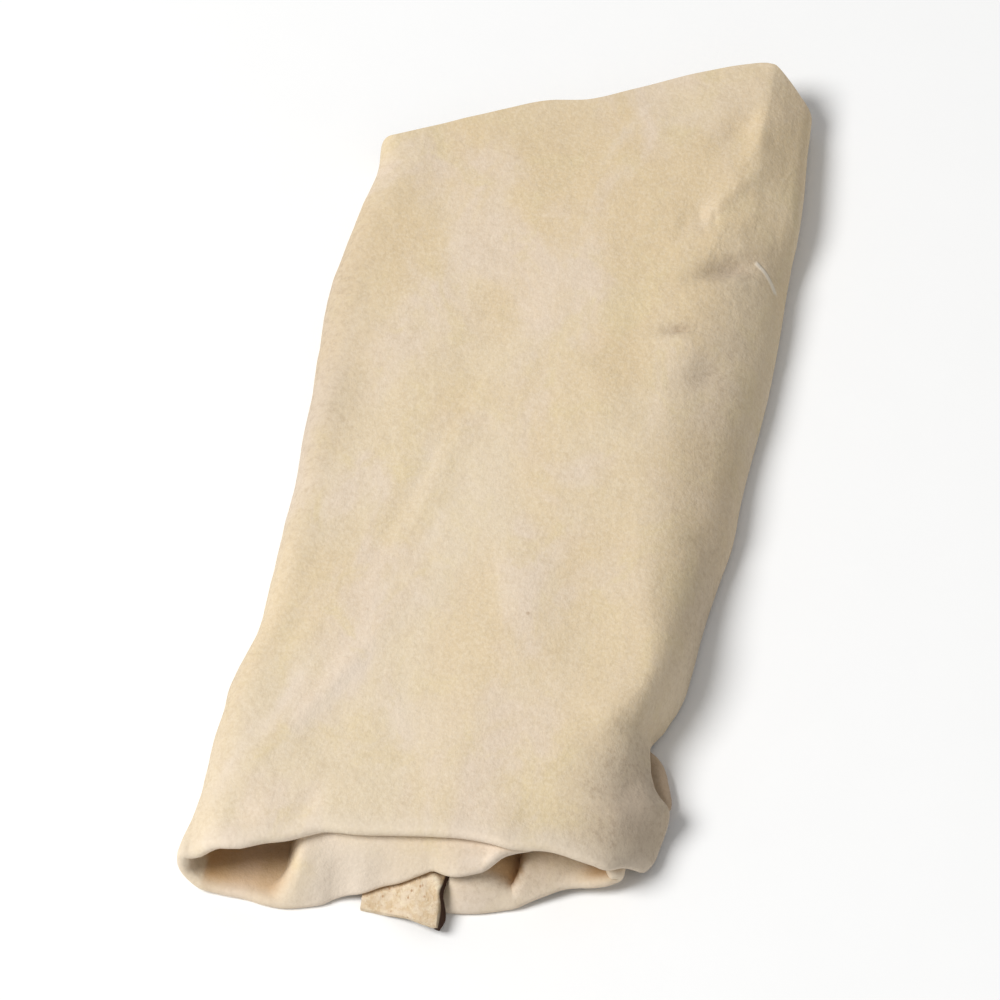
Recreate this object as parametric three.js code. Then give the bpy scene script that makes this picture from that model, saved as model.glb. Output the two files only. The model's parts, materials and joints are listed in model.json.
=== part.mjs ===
// A chamois leather, folded in half across its length and then rolled flat along it.
// X runs across the roll, Y along it from the open mouth to the far end, Z up. Millimetres.
// Every layer is the skin doubled, with its fold as a round rim at the mouth.

import * as THREE from 'three';

// Leather
const PLY = 1.4;
const PLY_GAP = 0.4;
const LAYER = 2 * PLY + PLY_GAP;
const CORNER_PLY = 2;

// Clearances
const SEAT = 0.3;
const NEST_SLACK = 0.3;
const LOOP_SLACK = 1;
const NEST = LAYER + SEAT + NEST_SLACK;

// Bundle in plan
const BUNDLE_WIDTH = 148;
const HALF_WIDTH = BUNDLE_WIDTH / 2;
const MOUTH_REACH = 168;
const MOUTH_SLANT = 34;
const FAR_LEFT_REACH = 110;
const FAR_SLANT = 58;
const FAR_TUCK = 5;
const FAR_DROP = 5;

// Left turn, the fold that the cover swings about
const TURN_RADIUS = 12;
const TURN_X = 3 - HALF_WIDTH + TURN_RADIUS;
const COVER_LIP_END_DEG = 163;
const TURN_START_DEG = 152;

// Cover
const CROWN = 1.6;
const FLANK_SEAM_WIDTH = SEAT;

// Inner roll
const LANDING_WIDTH = 12;
const RISE_START_X = -36;
const RISE_WIDTH = 62;
const LOOP_UPPER_DEG = 66;
const BACK_LEFT_X = 2;
const FLOOR_Z = LAYER / 2;

// Loose corner of the skin
const TAB_LEFT_X = -17;
const TAB_WIDTH = 24;
const TAB_LENGTH = 44;
const TAB_TIP_SLANT = 3;
const TAB_FRONT_Y = TAB_TIP_SLANT - MOUTH_REACH;
const TAB_REST_Z = CORNER_PLY / 2;

// Hem that stands out beside the mouth
const HEM_INSET = 36;
const HEM_START_Y = HEM_INSET - MOUTH_REACH;
const HEM_LENGTH = 36;
const HEM_UNDERLAP = 3;
const HEM_FLARE = 7;
const HEM_LIP = 5;

// Shares of the slants and widths, from left to right or from mouth to far end
const coverMouthShares = [0.16, 0.29, 0.52, 0.6, 0.63, 0.7, 1];
const lowerMouthShares = [0.06, 0.03, 0.13, 0.29, 0.46, 0.48, 0.69];
const backMouthShares = [0.29, 0.25, 0.34, 0.53, 0.72, 0.88];
const farShares = [0, 0.24, 0.45, 0.6, 0.83, 1, 0.91];
const flankStartShares = [0.38, 0.44, 0.52, 0.59, 0.64, 0.69, 0.73];
const flankEdgeShares = [0.87, 0.85, 0.8, 0.86, 0.9, 0.94, 0.96, 0.975, 0.98, 0.98, 0.98, 0.975, 0.95];
const flankLiftShares = [1, 1, 1, 0.6, 0.2, 0.2, 0.2, 0.2, 0.2, 0.2, 0.2, 0.2, 0.2];
const crownShares = [0.6, 1, 1, 1, 0.8, 0.2, -0.6];
const loopRunShare = 0.6;
const loopEaseShare = 0.55;
const rimShares = [0.2, 0.6, 0.9];

// Facets along the layers
const LONG_ROWS = 28;
const SHORT_ROWS = 12;

// Colours
const GRAIN_CREAM = 0xe3d3b8;
const GRAIN_WARM = 0xdcc7a4;
const FLESH_TAN = 0xc9a97c;
const INNER_TAN = 0xcdb48e;

// A smooth run through values at equal steps
function profile(values) {
  const last = values.length - 1;
  const curve = new THREE.SplineCurve(values.map((value, i) => new THREE.Vector2(i / last, value)));
  return (t) => curve.getPoint(THREE.MathUtils.clamp(t, 0, 1)).y;
}

const lerp = THREE.MathUtils.lerp;
const radians = THREE.MathUtils.degToRad;

// Ends of the layers, as Y over X
const acrossShare = (x) => (x + HALF_WIDTH) / BUNDLE_WIDTH;
const coverMouth = profile(coverMouthShares);
const coverMouthY = (x) => MOUTH_SLANT * coverMouth(acrossShare(x)) - MOUTH_REACH;
const farEdge = profile(farShares);
const coverFarY = (x) => FAR_LEFT_REACH + FAR_SLANT * farEdge(acrossShare(x));
const tuckedFarY = (x) => coverFarY(x) - FAR_TUCK;

// Cover section: a flat top that rounds down into the right flank
const flankStart = profile(flankStartShares);
const flankEdge = profile(flankEdgeShares);
const flankLift = profile(flankLiftShares);
const crown = profile(crownShares);
const flankStartX = (v) => HALF_WIDTH * flankStart(v);
const flankEdgeX = (v) => HALF_WIDTH * flankEdge(v);
const flankLowZ = (v) => (LAYER + SEAT) * flankLift(v);

function coverZ(x, v) {
  const share = (x - TURN_X) / (flankStartX(v) - TURN_X);
  const rise = Math.sin(Math.PI / 2 * THREE.MathUtils.clamp(share, 0, 1));
  const drop = FAR_DROP * THREE.MathUtils.smoothstep(v, 1 - FAR_DROP / FAR_LEFT_REACH, 1);
  return 2 * TURN_RADIUS - LAYER / 2 + CROWN * crown(v) * rise - drop * rise;
}

// Point of the layer's middle surface on the top of the cover
function topSurface(u, v) {
  const endX = flankStartX(v) - FLANK_SEAM_WIDTH / 2;
  const x = lerp(TURN_X + FLANK_SEAM_WIDTH / 2, endX, u);
  return new THREE.Vector3(x, lerp(coverMouthY(x), coverFarY(x), v), coverZ(x, v));
}

// Right flank: a quarter of an ellipse from the top down to its edge
function flankSurface(u, v) {
  const startX = flankStartX(v) + FLANK_SEAM_WIDTH / 2;
  const lowZ = flankLowZ(v);
  const angle = Math.PI / 2 * u;
  const x = startX + (flankEdgeX(v) - startX) * Math.sin(angle);
  const z = lowZ + (coverZ(startX, v) - lowZ) * Math.cos(angle);
  return new THREE.Vector3(x, lerp(coverMouthY(x), coverFarY(x), v), z);
}

// Arc round the fold axis, from the top at 90 degrees to the floor at 270
function turnSurface(radius, fromDeg, toDeg, mouthY, farY) {
  return (u, v) => {
    const angle = radians(lerp(fromDeg, toDeg, u));
    const x = TURN_X + radius * Math.cos(angle);
    return new THREE.Vector3(x, lerp(mouthY(x), farY(x), v), TURN_RADIUS + radius * Math.sin(angle));
  };
}

// Lower layer of the roll: landing, floor and rise up to the cover
const lowerSpan = RISE_START_X + RISE_WIDTH - TURN_X;
const lowerMouth = profile(lowerMouthShares);
const lowerMouthY = (x) => MOUTH_SLANT * lowerMouth((x - TURN_X) / lowerSpan) - MOUTH_REACH;
const innerTurnRadius = TURN_RADIUS - LAYER - SEAT - LAYER / 2;
const landingZ = TURN_RADIUS - innerTurnRadius;

function lowerSurface(u, v) {
  const x = lerp(TURN_X + SEAT, RISE_START_X - SEAT, u);
  const ease = THREE.MathUtils.smoothstep(x, TURN_X, TURN_X + LANDING_WIDTH);
  return new THREE.Vector3(x, lerp(lowerMouthY(x), tuckedFarY(x), v), lerp(landingZ, FLOOR_Z, ease));
}

function innerSurface(u, v) {
  const x = lerp(RISE_START_X, flankStartX(v), u);
  const ease = THREE.MathUtils.smoothstep(x, RISE_START_X, RISE_START_X + RISE_WIDTH);
  return new THREE.Vector3(x, lerp(lowerMouthY(x), tuckedFarY(x), v), lerp(FLOOR_Z, coverZ(x, v) - NEST, ease));
}

// Right loop inside the flank, down to the layer at the back
const backMouth = profile(backMouthShares);
const loopReach = (v) => flankEdgeX(v) - flankStartX(v) - NEST - LOOP_SLACK;
const loopFootX = (v) => flankStartX(v) + loopReach(v) * loopRunShare;
const backSpan = HALF_WIDTH - BACK_LEFT_X;
const backMouthY = (x) => MOUTH_SLANT * backMouth((x - BACK_LEFT_X) / backSpan) - MOUTH_REACH;

function loopPoint(u, v) {
  const startX = flankStartX(v) + SEAT;
  const startZ = coverZ(startX, v) - NEST;
  const turned = radians(LOOP_UPPER_DEG);
  const upper = (angle) => new THREE.Vector2(
    startX + loopReach(v) * Math.sin(angle),
    lerp(flankLowZ(v), startZ, Math.cos(angle)),
  );
  if (u <= 1 / 2) {
    return upper(2 * u * turned);
  }
  const foot = new THREE.Vector2(loopFootX(v) + SEAT, FLOOR_Z);
  const ease = loopReach(v) * loopEaseShare * (1 - loopRunShare);
  const lower = new THREE.CubicBezierCurve(
    upper(turned),
    upper(turned).add(new THREE.Vector2(ease * Math.cos(turned), -ease * Math.sin(turned))),
    foot.clone().add(new THREE.Vector2(2 * ease, 0)),
    foot,
  );
  return lower.getPoint(2 * u - 1);
}

function loopSurface(u, v) {
  const section = loopPoint(u, v);
  const mouthY = lerp(lowerMouthY(RISE_START_X + RISE_WIDTH), backMouthY(section.x), u);
  return new THREE.Vector3(section.x, lerp(mouthY, tuckedFarY(section.x), v), section.y);
}

function backSurface(u, v) {
  const x = lerp(BACK_LEFT_X, loopFootX(v), u);
  return new THREE.Vector3(x, lerp(backMouthY(x), tuckedFarY(x), v), FLOOR_Z);
}

// Loose corner: its right side lies on the layer at the back, its left side on the floor
function tabSurface(u, v) {
  const x = TAB_LEFT_X + TAB_WIDTH * u;
  const ease = THREE.MathUtils.smoothstep(x, TAB_LEFT_X, BACK_LEFT_X);
  const z = TAB_REST_Z + (LAYER + SEAT) * ease;
  return new THREE.Vector3(x, lerp(TAB_FRONT_Y - TAB_TIP_SLANT * u, TAB_FRONT_Y + TAB_LENGTH, v), z);
}

// Hem: runs out under the flank's edge and curls up beside it
function hemSurface(u, v) {
  const y = HEM_START_Y + HEM_LENGTH * v;
  const along = (y - coverMouthY(HALF_WIDTH)) / (coverFarY(HALF_WIDTH) - coverMouthY(HALF_WIDTH));
  const bow = Math.sin(Math.PI * v);
  const edgeX = flankEdgeX(along);
  const outerX = edgeX + LAYER / 2 + HEM_FLARE * bow;
  const curl = new THREE.CubicBezierCurve(
    new THREE.Vector2(edgeX - HEM_UNDERLAP, FLOOR_Z),
    new THREE.Vector2(edgeX + HEM_UNDERLAP, FLOOR_Z),
    new THREE.Vector2(outerX, FLOOR_Z),
    new THREE.Vector2(outerX + SEAT * bow, FLOOR_Z + HEM_LIP * bow),
  );
  const section = curl.getPoint(u);
  return new THREE.Vector3(section.x, y, section.y);
}

// A closed sheet of the given thickness about a middle surface, with a round rim at the mouth
function sheetGeometry(surface, across, along, thickness) {
  const rimDepth = thickness / 2;
  const rimStations = rimShares.map((share) => ({ inset: share, half: Math.sqrt(1 - (1 - share) ** 2) }));
  const stations = rimStations.map(({ inset, half }) => ({ v: 0, inset: inset * rimDepth, half }));
  for (let row = 0; row <= along; row += 1) {
    stations.push({ v: row / along, inset: row === 0 ? rimDepth : 0, half: 1 });
  }

  const step = 1 / (across * along);
  const positions = [];
  const point = (u, station) => {
    const place = surface(u, station.v);
    const ahead = surface(Math.min(u + step, 1), station.v);
    const behind = surface(Math.max(u - step, 0), station.v);
    const further = surface(u, Math.min(station.v + step, 1));
    const nearer = surface(u, Math.max(station.v - step, 0));
    const acrossDirection = ahead.sub(behind);
    const alongDirection = further.sub(nearer).normalize();
    const normal = acrossDirection.cross(alongDirection).normalize();
    place.addScaledVector(alongDirection, station.inset);
    return { place, offset: normal.multiplyScalar(station.half * thickness / 2) };
  };
  const columns = across + 1;
  for (const side of [1, -1]) {
    for (const station of stations) {
      for (let column = 0; column < columns; column += 1) {
        const { place, offset } = point(column / across, station);
        positions.push(...place.addScaledVector(offset, side).toArray());
      }
    }
  }

  const rows = stations.length;
  const layerSize = rows * columns;
  const index = [];
  const quad = (a, b, c, d) => index.push(a, b, c, a, c, d);
  for (let row = 0; row < rows - 1; row += 1) {
    for (let column = 0; column < columns - 1; column += 1) {
      const a = row * columns + column;
      quad(a, a + 1, a + 1 + columns, a + columns);
      quad(layerSize + a, layerSize + a + columns, layerSize + a + 1 + columns, layerSize + a + 1);
    }
    const left = row * columns;
    const right = left + columns - 1;
    quad(left, left + columns, layerSize + left + columns, layerSize + left);
    quad(right, layerSize + right, layerSize + right + columns, right + columns);
  }
  const lastRow = (rows - 1) * columns;
  for (let column = 0; column < columns - 1; column += 1) {
    quad(column, layerSize + column, layerSize + column + 1, column + 1);
    const far = lastRow + column;
    quad(far, far + 1, layerSize + far + 1, layerSize + far);
  }

  const geometry = new THREE.BufferGeometry();
  geometry.setAttribute('position', new THREE.Float32BufferAttribute(positions, 3));
  geometry.setIndex(index);
  geometry.computeVertexNormals();
  return geometry;
}

const roll = new THREE.Group();

function addSheet(name, surface, across, along, colour, thickness = LAYER) {
  const material = new THREE.MeshStandardMaterial({ color: colour, roughness: 0.95, metalness: 0 });
  const mesh = new THREE.Mesh(sheetGeometry(surface, across, along, thickness), material);
  mesh.name = name;
  roll.add(mesh);
}

// Cover, which swings about the left turn
const lipRadius = TURN_RADIUS - LAYER / 2;
addSheet('top_panel', topSurface, 12, LONG_ROWS, GRAIN_CREAM);
addSheet('right_flank', flankSurface, 10, LONG_ROWS, GRAIN_WARM);
addSheet('cover_lip', turnSurface(lipRadius, COVER_LIP_END_DEG, 90, coverMouthY, coverFarY), 8, SHORT_ROWS, GRAIN_CREAM);

// Inner roll, which stays on the table
const turnFace = turnSurface(innerTurnRadius, 270, TURN_START_DEG, () => lowerMouthY(TURN_X), tuckedFarY);
addSheet('left_turn', turnFace, 10, SHORT_ROWS, INNER_TAN);
addSheet('lower_panel', lowerSurface, 6, LONG_ROWS, INNER_TAN);
addSheet('inner_panel', innerSurface, 12, LONG_ROWS, GRAIN_CREAM);
addSheet('right_loop', loopSurface, 14, LONG_ROWS, GRAIN_WARM);
addSheet('back_panel', backSurface, 6, LONG_ROWS, GRAIN_CREAM);
addSheet('corner_tab', tabSurface, 6, 4, FLESH_TAN, CORNER_PLY);
addSheet('side_hem', hemSurface, 8, SHORT_ROWS, GRAIN_WARM);

// The origin lies under the middle of the bundle's box
const box = new THREE.Box3().setFromObject(roll);
const middle = box.getCenter(new THREE.Vector3());
roll.position.set(-middle.x, -middle.y, -box.min.z);

export default roll;
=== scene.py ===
import json
import math

import bpy
import numpy as np
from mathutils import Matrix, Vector, noise


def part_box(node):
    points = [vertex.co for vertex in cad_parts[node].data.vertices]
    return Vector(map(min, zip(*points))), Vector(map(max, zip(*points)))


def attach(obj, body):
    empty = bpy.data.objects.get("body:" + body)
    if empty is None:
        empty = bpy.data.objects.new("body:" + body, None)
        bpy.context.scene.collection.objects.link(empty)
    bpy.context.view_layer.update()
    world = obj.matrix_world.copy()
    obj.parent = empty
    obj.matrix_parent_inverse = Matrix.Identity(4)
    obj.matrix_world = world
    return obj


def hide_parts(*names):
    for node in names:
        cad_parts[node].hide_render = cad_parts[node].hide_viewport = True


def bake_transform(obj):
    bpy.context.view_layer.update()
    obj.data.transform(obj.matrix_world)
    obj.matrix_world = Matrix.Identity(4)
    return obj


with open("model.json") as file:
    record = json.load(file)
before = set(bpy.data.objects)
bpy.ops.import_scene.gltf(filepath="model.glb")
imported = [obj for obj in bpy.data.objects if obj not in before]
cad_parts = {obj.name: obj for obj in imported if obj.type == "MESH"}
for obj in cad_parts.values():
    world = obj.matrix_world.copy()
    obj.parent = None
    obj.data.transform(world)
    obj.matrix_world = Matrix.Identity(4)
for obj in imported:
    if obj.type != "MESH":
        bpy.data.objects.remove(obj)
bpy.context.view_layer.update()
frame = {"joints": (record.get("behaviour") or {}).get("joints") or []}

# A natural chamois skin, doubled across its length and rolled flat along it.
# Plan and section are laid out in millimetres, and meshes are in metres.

MM = 0.001

# Leather. A layer is two plies with a little air between them
PLY = 1.4
PLY_GAP = 0.4
LAYER = 2 * PLY + PLY_GAP
CORNER_PLY = 1.5

# From the middle of a layer to that of the next one up, to the table, and forward to the front of its rim
LAYER_STEP = LAYER + 0.5
FLOOR_Z = LAYER / 2
FOLD_REACH = (PLY + PLY_GAP) / 2 + PLY / 2

# The plan is placed in the frame by the fold's x and by the far end of the cover
FOLD_X = -59
FAR_END_Y = 168
JOINT = next(joint for joint in frame["joints"] if joint["name"] == "cover_fold")
FOLD_Z = JOINT["pos_m"][2] / MM
SHIFT = np.array([JOINT["pos_m"][0] / MM - FOLD_X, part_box("top_panel")[1].y / MM - FAR_END_Y, 0])
TOP_Z = 2 * FOLD_Z - FLOOR_Z

# Seam on the table between the two sheets, and the hidden left end of the back layer
SEAM_X = -52
BACK_LEFT_X = 2

# How far the inner roll ends before the cover, and how far the cover sinks towards its far end
TUCK = 5
FAR_SINK = 3
SINK_FADE = (0.82, 1)

# Outlines in plan. The rims are given along their front, as x, y
COVER_RIM = ((-75, -161.5), (-68, -162), (-62, -161.2), (-56, -161), (-52, -159.5), (-48.7, -158),
             (-40.7, -155.2), (-35, -152.6), (-31, -151), (-27, -150.6), (-23, -150.4), (-8.6, -148.3),
             (3.3, -146.8), (12, -146), (18, -146.2), (25, -146.8), (30.5, -145.9), (36.4, -144.8),
             (41, -144.8), (46, -145.2), (50, -145.3), (54, -145), (58, -141.4), (61.5, -138.8),
             (64, -136.8), (66.5, -133.5), (68, -132))
LOWER_RIM = ((-75, -163.5), (-70, -164.6), (-66.6, -165.6), (-63, -165.5), (-57.5, -165.6),
             (-51.3, -165.9), (-47.4, -166.6), (-40.3, -166.7), (-36, -165.6), (-33, -164.7),
             (-30.2, -163.6), (-27.6, -161.8), (-23.2, -160.2), (-18.7, -159.6), (-13, -157.4),
             (-7.1, -156.1), (-1.3, -154), (2.4, -152.8), (6.2, -153.6), (9.3, -154), (13.7, -153.1),
             (18.1, -151.8), (21.3, -149.7), (23.4, -147.8), (25.8, -146.2), (32, -143.5), (50, -142.5),
             (60, -141))
BACK_RIM = ((0, -156), (4, -158.6), (7.5, -159.4), (14.7, -158.7), (23.4, -156.1), (27.7, -154.6),
            (31.3, -152.4), (36, -149.7), (40.2, -147.3), (44.5, -145.9), (49.1, -145.2), (54.9, -143.4),
            (57.1, -141.8), (58.5, -139.9))

# Heights of the middle of a layer at its rim, by x
LOWER_RIM_Z = ((-36, 1.6), (-27.6, 2), (-23, 3.4), (-18.7, 4.8), (-13, 6.8), (-7, 9), (-1.3, 11.6),
               (2.4, 13.1), (6.2, 13.1), (9.3, 13.6), (13.7, 14.6), (18, 16), (21.3, 17.4), (25.8, 18.6))
BACK_RIM_Z = ((23.4, 1.6), (27.7, 2.1), (31.3, 2.9), (36, 3.7), (40, 4.2), (44.5, 4.4), (49, 4.8),
              (55, 5.6), (57, 6))

# Height that the back layer swells to behind its rim, and depth of the pocket in it, by x. The fades are
# along y: the swell's end deep inside, the pocket's start, and the slant of the pocket's right side
BACK_PUFF_Z = ((4, 3.6), (6, 5.4), (8, 8), (12, 10.3), (17, 11.2), (31, 11.2), (38, 10.5), (45, 7),
               (50, 5), (54, 5), (58, 6))
POCKET_DEPTH = ((16, 0), (19, 2.2), (22, 4.6), (26, 7), (26.8, 5.4), (27.7, 1), (28.6, 0))
PUFF_RUN = 12
PUFF_FADE = (-133, -112)
POCKET_FADE = (-153, -146)
POCKET_SLANT = 1.5
SLANT_FADE = (-151, -143)

# Far end of the cover, as x, y
FAR_EDGE = ((-70, 107), (-66.4, 111), (-64.6, 114.5), (-59.7, 116.8), (-34.4, 129.8), (-13.8, 139.7),
            (-0.6, 142.8), (14.4, 150.9), (29.8, 159), (46.8, 166.4), (54, 168.5), (56, 168.6),
            (57.3, 168), (58.6, 167.1), (62.8, 164), (69.1, 158.8), (72, 156.6))

# Left and right outline, as y, x
LEFT_EDGE = ((-164, -74.4), (-158, -73.9), (-148, -72), (-135, -71.2), (-122, -71), (-110, -70.3),
             (-101, -70.1), (-91, -68.4), (-84, -66.4), (-78, -65.9), (-66, -66.2), (-51, -66.2),
             (-28, -66.2), (-5, -67.6), (11, -67.6), (33, -69.4), (57, -70.4), (84, -67.5), (99, -65.1),
             (112, -65.9))
RIGHT_EDGE = ((-140, 66), (-110, 61), (-93.5, 58.8), (-90.8, 59.2), (-88.5, 60.2), (-85.9, 61.7),
              (-81.3, 63.4), (-77.3, 64.9), (-72.3, 66.1), (-65, 66.8), (-47, 67.9), (-29.4, 69.8),
              (-15, 71.7), (2, 71.9), (48, 74.2), (71, 74.2), (92, 73.7), (116, 73.7), (132, 73),
              (137, 72.5), (160, 71))

# The left turn: how far it reaches out, by y, and how far its upper face droops at the rim, by x.
# A power of 1 makes its section an ellipse, and a lower one makes it squarer, most so at the far end
TURN_DEPTH = ((-164, 18), (-150, 15), (-120, 12.5), (-60, 11), (60, 11), (100, 10), (112, 7))
RIM_DROOP = ((-73, 0), (-70.5, 3.4), (-68, 3.8), (-65, 2.2), (-61, 0.5), (-58, 0))
DROOP_FADE = (0, 0.06)
TURN_POWERS = (0.74, 0.62)
TURN_FADE = (0.86, 1)

# Where the cover starts to round down to the right, as y, x
FLANK_START = ((-140, 22), (-120, 27), (-100, 40), (-88, 49), (-78, 53), (-66, 52.5), (-50, 48), (0, 40),
               (50, 38), (80, 41), (99, 46), (107, 49), (117, 53), (127, 56), (140, 57), (168, 56.5))

# The cover's free edge, which is lifted beside the mouth, and the loop that bulges out below it, by y
SIDE_RIM = ((-137, 62.5), (-136, 63.8), (-134, 65.3), (-131.5, 66.5), (-127.5, 67.3), (-123.6, 68),
            (-121.6, 68.5), (-119.5, 69), (-117.3, 68.9), (-115.6, 67.4), (-113.8, 65.3), (-111.7, 63.6),
            (-109.3, 62.4), (-106.6, 61.3), (-102.4, 60.3), (-98.9, 59.5), (-94, 59.2))
SIDE_RIM_Z = ((-137, 2.4), (-126, 2.4), (-123, 3), (-120, 5.6), (-117, 8.2), (-114, 8.8), (-98, 8.8))
BULGE_EDGE = ((-127, 57), (-122, 61), (-118, 65.5), (-115, 68), (-112.5, 68.2), (-110.2, 67.5),
              (-106.8, 66.3), (-103.7, 65.2), (-100.7, 63.4), (-98.9, 61.6), (-97, 60))
SIDE_RIM_INSET = 1.2
LIFT_FADE = (-99, -89)

# Height of the cover's crown, by the share of its length from the mouth
CROWN = ((0, 1), (0.2, 1.6), (0.6, 1.4), (0.8, 0.6), (1, -1))

# Sections of the right flank, as shares of its width and height
ROUND = ((0, 0), (0.2, 0.02), (0.4, 0.083), (0.588, 0.19), (0.76, 0.35), (0.9, 0.565), (0.98, 0.8),
         (1, 0.94), (0.985, 1))
BEVEL = ((0, 0), (0.15, 0.05), (0.33, 0.125), (0.52, 0.215), (0.7, 0.31), (0.88, 0.42), (0.985, 0.56),
         (1.01, 0.8), (0.99, 1))
LIFTED = ((0, 0), (0.25, 0.05), (0.48, 0.14), (0.67, 0.275), (0.81, 0.46), (0.905, 0.66), (0.97, 0.86),
          (1, 1))

# Sections of the right loop, in the same way
LOOP = ((0, 0), (0.3, 0.045), (0.56, 0.16), (0.78, 0.34), (0.93, 0.56), (1, 0.74), (0.985, 0.87),
        (0.92, 0.96), (0.78, 1), (0.6, 1))
LOOP_BEVEL = ((0, 0), (0.16, 0.09), (0.34, 0.18), (0.52, 0.28), (0.7, 0.38), (0.88, 0.5), (0.95, 0.68),
              (0.9, 0.9), (0.76, 1), (0.6, 1))

# Its section at the mouth's corner, as x, height, share that lies on the layer below
LOOP_CORNER = ((27, 18.7, 0), (34, 17.6, 0), (41, 15.6, 0), (46.5, 13.1, 0), (50.8, 10.8, 0), (54, 9, 0),
               (56.3, 7.7, 0), (56.6, 6.3, 0), (54.8, 5.3, 1), (49, 4.8, 1))

# Its section at the bulge, as x, height, share that follows the bulge's edge
LOOP_BULGE = ((29, 19.1, 0), (39, 17.4, 0), (47, 14, 0), (51.6, 10.4, 0), (54.8, 7.4, 0),
              (58.5, 5.3, 0.35), (64.4, 4.8, 1), (66.4, 3.2, 1), (64, 1.6, 1), (48, 1.6, 0))
BULGE_NOMINAL_X = 66.4

# Where the corner and the bulge end along y, first at the top of the loop and then at its foot,
# and the share of the way round at which the one becomes the other
CORNER_FADES = ((-138, -98), (-127, -114))
BULGE_FADES = ((-118, -76), (-99, -94))
FOOT_FADE = (0.3, 0.55)

# Where the flank and the loop turn from round to bevelled, along y
BEVEL_FADE = (82, 112)

# Air under the flank's edge and between the flank and the loop, and how far back the loop's mouth lies
# under the cover
EDGE_AIR = 0.3
LOOP_AIR = 0.6
LOOP_SET_BACK = 5

# First and last y of the left turn, the flank's start, the flank's edge and the loop
LEFT_ENDS = (-163, 112)
RIGHT_ENDS = (-140, 164)
FLANK_ENDS = (-134.8, 158)
LOOP_ENDS = (-140, 155)

# The wall that rises inside the left loop: x of its foot and top near the mouth and deep inside, how far
# its foot slants to the left at the rim, both with their fades along y, and the columns' shares at the two
WALL_X = (-42, -36)
DEEP_WALL_X = (-40, 26)
DEEP_FADE = (-150, -60)
WALL_SLANT = 4
WALL_SLANT_FADE = (-164, -154)
WALL_SHARES = (0.08, 0.32)

# The layer behind that rim rises to the cover's underside, and reaches it this far behind the cover's rim,
# but not in less than the run. Between these two x its rim itself comes up to the cover
RISE_PAST_RIM = 2.5
RISE_RUN = 4
RIM_JOIN = (17, 22)

# Loose corner: front edge by share across, right edge as y, x, height by share across, height at the rim by x
CORNER_FRONT = ((0, -163), (0.26, -163.8), (0.52, -165.4), (0.72, -167.2), (0.86, -167.8), (1, -166))
CORNER_RIGHT = ((-168, 5.8), (-161, 5.2), (-157, 4.8), (-153, 5.2), (-149, 6), (-140, 6.4))
CORNER_Z = ((0, 0.9), (0.28, 1.7), (0.5, 4), (0.68, 5.4), (0.84, 5.5))
CORNER_RIM_Z = ((-18, 2), (-13, 3.8), (-7, 5.8), (-1.3, 8.3), (6, 9.6))
CORNER_LEFT_X = -18
CORNER_BACK_Y = -121
CORNER_LOWEST = 0.85

# Shares across it where its edge turns down and where its strip of painted dark shade starts
EDGE_SHARE = 0.84
STRIP_SHARE = 0.85
CORNER_GRID = (40, 44)
CORNER_CROWDING = 1.4


def through(points, place):
    """A smooth run through (place, value) points, level beyond the first and the last."""
    places, values = np.array(sorted(points), float).T
    slopes = np.gradient(values, places)
    place = np.clip(place, places[0], places[-1])
    step = np.clip(np.searchsorted(places, place, side="right") - 1, 0, len(places) - 2)
    gap = places[step + 1] - places[step]
    part = (place - places[step]) / gap
    rise = values[step + 1] - values[step]
    bend_in = gap * slopes[step] - rise
    bend_out = rise - gap * slopes[step + 1]
    return values[step] + part * rise + part * (1 - part) * ((1 - part) * bend_in + part * bend_out)


def ramp(value, start, end):
    """0 before start, 1 after end, and straight between them."""
    return np.clip((np.asarray(value, float) - start) / (end - start), 0, 1)


def ease(value, start, end):
    """0 before start, 1 after end, and smooth between them."""
    part = ramp(value, start, end)
    return part * part * (3 - 2 * part)


def arch(share):
    """Rises steeply from 0 and levels off at 1."""
    return np.sin(math.pi / 2 * np.clip(share, 0, 1))


def mix(a, b, share):
    return a + (b - a) * share


def along(rows, place):
    """A smooth run down the evenly spaced rows of a table, at a place from 0 to 1."""
    rows = np.array(rows, float)
    reach = place * (len(rows) - 1)
    step = np.minimum(reach.astype(int), len(rows) - 2)
    part = (reach - step)[..., None]
    padded = np.concatenate([rows[:1], rows, rows[-1:]])
    a, b, c, d = (padded[step + shift] for shift in range(4))
    curve = 2 * b + (c - a) * part + (2 * a - 5 * b + 4 * c - d) * part**2
    return np.moveaxis(curve + (3 * b - a - 3 * c + d) * part**3, -1, 0) / 2


# y of the middle of each layer, at the mouth and at the far end
def cover_mouth(x):
    return through(COVER_RIM, x) + FOLD_REACH


def lower_mouth(x):
    return through(LOWER_RIM, x) + FOLD_REACH


def back_mouth(x):
    return through(BACK_RIM, x) + FOLD_REACH


def cover_far(x):
    return through(FAR_EDGE, x)


def inner_far(x):
    return cover_far(x) - TUCK


# Each piece gives x, y and z of the middle of a layer, at s across the roll and v from the mouth to the end.
# Cover, from the seam on the table round the left turn, over the top and down the right flank
def left_place(v):
    return mix(*LEFT_ENDS, v)


def turn_x(v):
    """x where the left turn passes into the flat parts above and below it."""
    y = left_place(v)
    return through(LEFT_EDGE, y) + through(TURN_DEPTH, y) + LAYER / 2


def flank_start(v):
    return through(FLANK_START, mix(*RIGHT_ENDS, v))


def cover_z(x, v):
    """Height of the middle of the cover, without its dents."""
    crown = through(CROWN, v) * arch((x - turn_x(v)) / (flank_start(v) - turn_x(v)))
    return TOP_Z - FAR_SINK * ease(v, *SINK_FADE) + crown


def floor_piece(s, v):
    x = mix(SEAM_X, turn_x(v), s)
    return x, mix(lower_mouth(x), mix(inner_far(x), cover_far(x), s), v), np.full_like(x, FLOOR_Z)


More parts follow.
